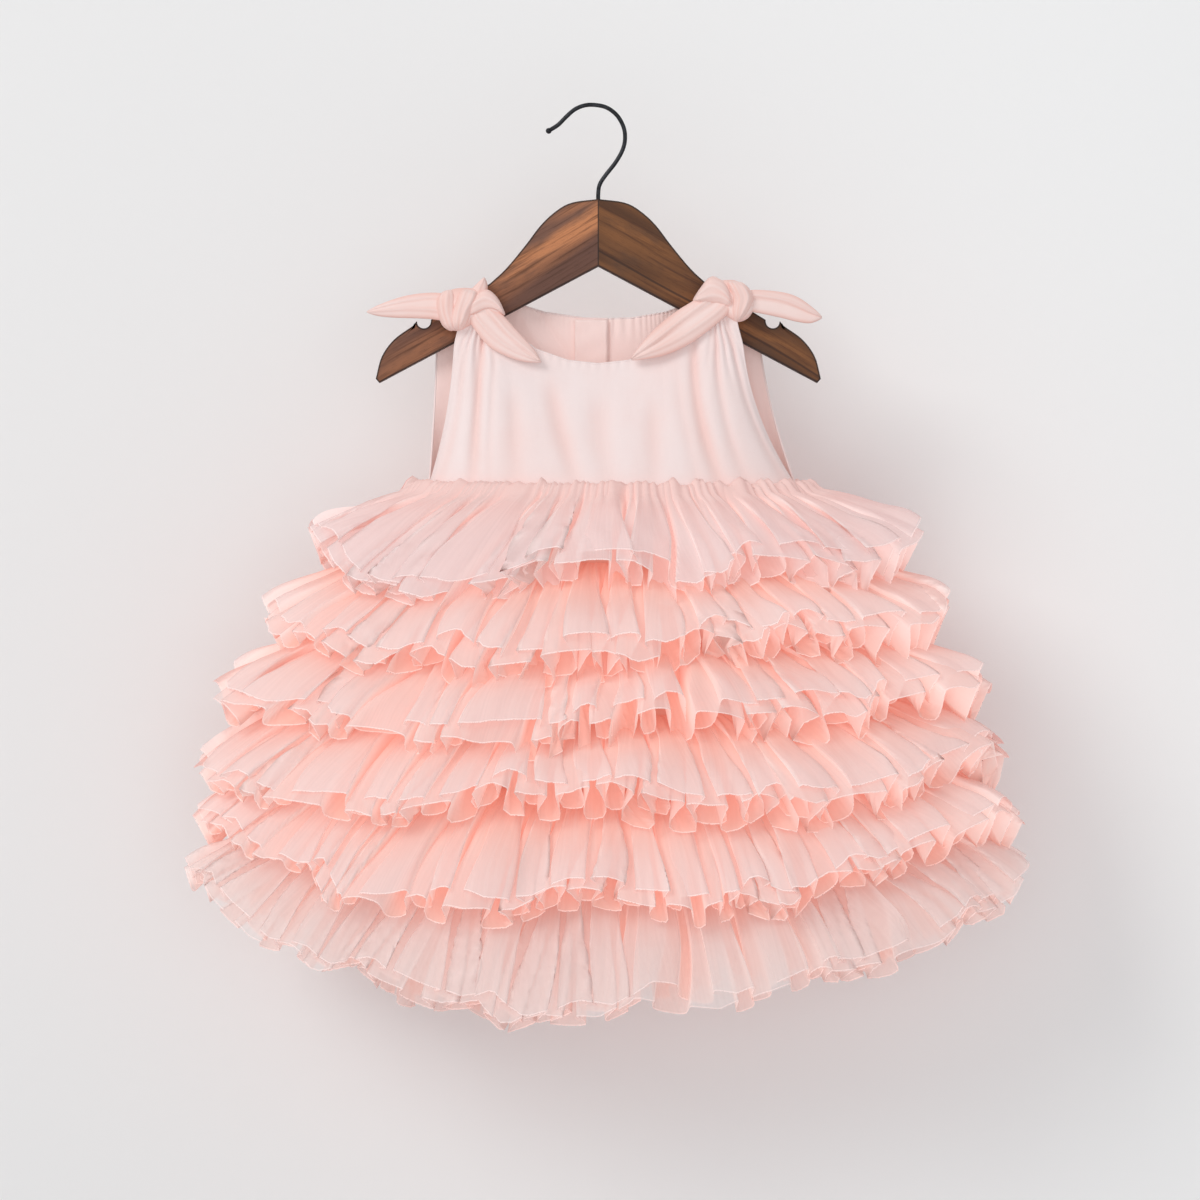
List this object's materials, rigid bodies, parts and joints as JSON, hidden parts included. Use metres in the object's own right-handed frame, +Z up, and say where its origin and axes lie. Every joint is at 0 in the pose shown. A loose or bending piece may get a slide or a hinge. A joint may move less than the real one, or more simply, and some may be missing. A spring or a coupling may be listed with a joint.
{
  "type": "toddler party dress on hanger",
  "caption": "Sleeveless toddler party dress with tied shoulders and a tiered, gathered tulle skirt, hanging on a wooden hanger with a wire hook.",
  "frame": {"origin": "the inside of the hook's top, where it bears on a rail", "axes": "+Z up along the hanging line, -Y out of the dress's front, +X to the right as seen from the front"},
  "size_m": [0.5877, 0.1829, 0.6324],
  "materials": {
    "hook_wire": "black satin",
    "hanger_wood": "stained, satin varnish",
    "bodice_cotton": "smooth woven cotton, soft sheen",
    "skirt_lining": "smooth woven lining",
    "tulle": "fine soft net, matt"
  },
  "bodies": {
    "root": {"hook": "hook_wire", "hanger_wood": "hanger_wood", "bodice_front": "bodice_cotton", "bodice_back_left": "bodice_cotton", "bodice_back_right": "bodice_cotton", "back_placket": "bodice_cotton", "skirt_base_front": "skirt_lining", "skirt_base_back": "skirt_lining", "tie_left": "bodice_cotton", "knot_left": "bodice_cotton", "tail_left_outer": "bodice_cotton", "tail_left_inner": "bodice_cotton", "tie_right": "bodice_cotton", "knot_right": "bodice_cotton", "tail_right_outer": "bodice_cotton", "tail_right_inner": "bodice_cotton", "tier_1_front": "tulle", "tier_1_back": "tulle", "tier_2_front": "tulle", "tier_2_back": "tulle", "tier_3_front": "tulle", "tier_3_back": "tulle", "tier_4_front": "tulle", "tier_4_back": "tulle", "tier_5_front": "tulle", "tier_5_back": "tulle", "tier_6_front": "tulle", "tier_6_back": "tulle"}
  },
  "joints": []
}
